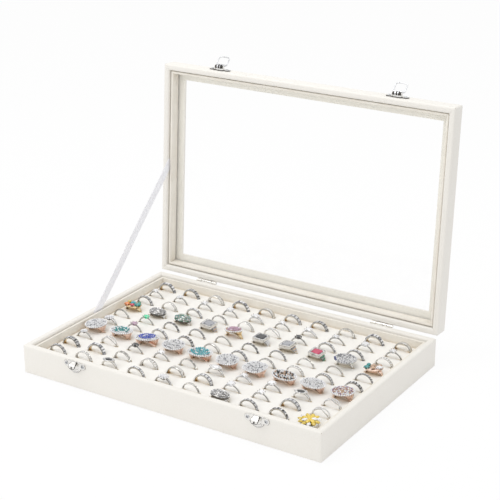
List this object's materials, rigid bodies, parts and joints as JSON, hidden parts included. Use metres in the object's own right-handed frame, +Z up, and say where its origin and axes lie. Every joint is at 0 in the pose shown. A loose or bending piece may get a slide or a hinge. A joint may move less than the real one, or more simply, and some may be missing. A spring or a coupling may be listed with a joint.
{
  "type": "ring display box",
  "caption": "Flat leather-covered ring case: a tray with a slit foam pad full of rings, and a hinged glazed lid with a ribbon stay and two draw latches.",
  "frame": {"origin": "centre of the tray's flat underside", "axes": "+Z up out of the tray, +X to the right seen from the latch side, +Y towards the hinges; the case is 350 mm along X"},
  "size_m": [0.35, 0.281, 0.2842],
  "materials": {
    "grey_board": "pressed board, uncoated, hidden under the covering",
    "white_leather": "off-white polyurethane leather with a fine pebble grain, satin",
    "lining_sheet": "cream flocked paper, matt",
    "flocked_lining": "cream flocked lining over board, matt",
    "flocked_foam": "white flocked foam, matt",
    "ring_silver": "polished silver-coloured metal with set stones",
    "satin_ribbon": "white satin ribbon",
    "clear_glass": "clear float glass",
    "nickel_plate": "bright nickel plate on pressed steel"
  },
  "bodies": {
    "tray": {"base_sheet": "lining_sheet", "base_board": "grey_board", "tray_front_wall": "grey_board", "tray_back_wall": "grey_board", "tray_left_wall": "grey_board", "tray_right_wall": "grey_board", "tray_wrap": "white_leather", "tray_front_liner": "flocked_lining", "tray_back_liner": "flocked_lining", "tray_left_liner": "flocked_lining", "tray_right_liner": "flocked_lining", "pad_support": "grey_board", "ring_pad": "flocked_foam", "rings_row_01": "ring_silver", "rings_row_02": "ring_silver", "rings_row_03": "ring_silver", "rings_row_04": "ring_silver", "rings_row_05": "ring_silver", "rings_row_06": "ring_silver", "rings_row_07": "ring_silver", "rings_row_08": "ring_silver", "rings_row_09": "ring_silver", "rings_row_10": "ring_silver", "stay_ribbon": "satin_ribbon", "catch_plate_left": "nickel_plate", "catch_plate_right": "nickel_plate", "catch_screws": "nickel_plate", "hinge_leaf_lower_left": "nickel_plate", "hinge_leaf_lower_right": "nickel_plate", "hinge_pins": "nickel_plate", "hinge_screws_lower": "nickel_plate"},
    "lid": {"lid_front_wall": "grey_board", "lid_back_wall": "grey_board", "lid_left_wall": "grey_board", "lid_right_wall": "grey_board", "lid_top_panel": "grey_board", "lid_wrap": "white_leather", "glass_seat": "flocked_lining", "lid_glass": "clear_glass", "lid_front_liner": "flocked_lining", "lid_back_liner": "flocked_lining", "lid_left_liner": "flocked_lining", "lid_right_liner": "flocked_lining", "hinge_leaf_upper_left": "nickel_plate", "hinge_leaf_upper_right": "nickel_plate", "hinge_screws_upper": "nickel_plate", "latch_plate_left": "nickel_plate", "latch_plate_right": "nickel_plate", "latch_screws": "nickel_plate", "lever_pins": "nickel_plate"},
    "lever_left": {"latch_lever_left": "nickel_plate"},
    "lever_right": {"latch_lever_right": "nickel_plate"},
    "loop_left": {"latch_loop_left": "nickel_plate"},
    "loop_right": {"latch_loop_right": "nickel_plate"}
  },
  "joints": [
    {"name": "lid_hinge", "type": "hinge", "parent": "tray", "child": "lid", "pos_m": [0, 0.1209, 0.032], "axis": [1, 0, 0], "range_deg": [0, 93.4], "deforming": ["stay_ribbon"]},
    {"name": "latch_left_lever", "type": "hinge", "parent": "lid", "child": "lever_left", "pos_m": [-0.107, 0.14389, 0.27566], "axis": [1, 0, 0], "range_deg": [0, 170]},
    {"name": "latch_left_loop", "type": "hinge", "parent": "lever_left", "child": "loop_left", "pos_m": [-0.107, 0.14781, 0.27647], "axis": [1, 0, 0], "range_deg": [-40, 0]},
    {"name": "latch_right_lever", "type": "hinge", "parent": "lid", "child": "lever_right", "pos_m": [0.107, 0.14389, 0.27566], "axis": [1, 0, 0], "range_deg": [0, 170]},
    {"name": "latch_right_loop", "type": "hinge", "parent": "lever_right", "child": "loop_right", "pos_m": [0.107, 0.14781, 0.27647], "axis": [1, 0, 0], "range_deg": [-40, 0]}
  ],
  "couplings": [
    {"joint": "latch_left_loop", "follows": "latch_left_lever", "ratio": -0.23529},
    {"joint": "latch_right_loop", "follows": "latch_right_lever", "ratio": -0.23529}
  ]
}
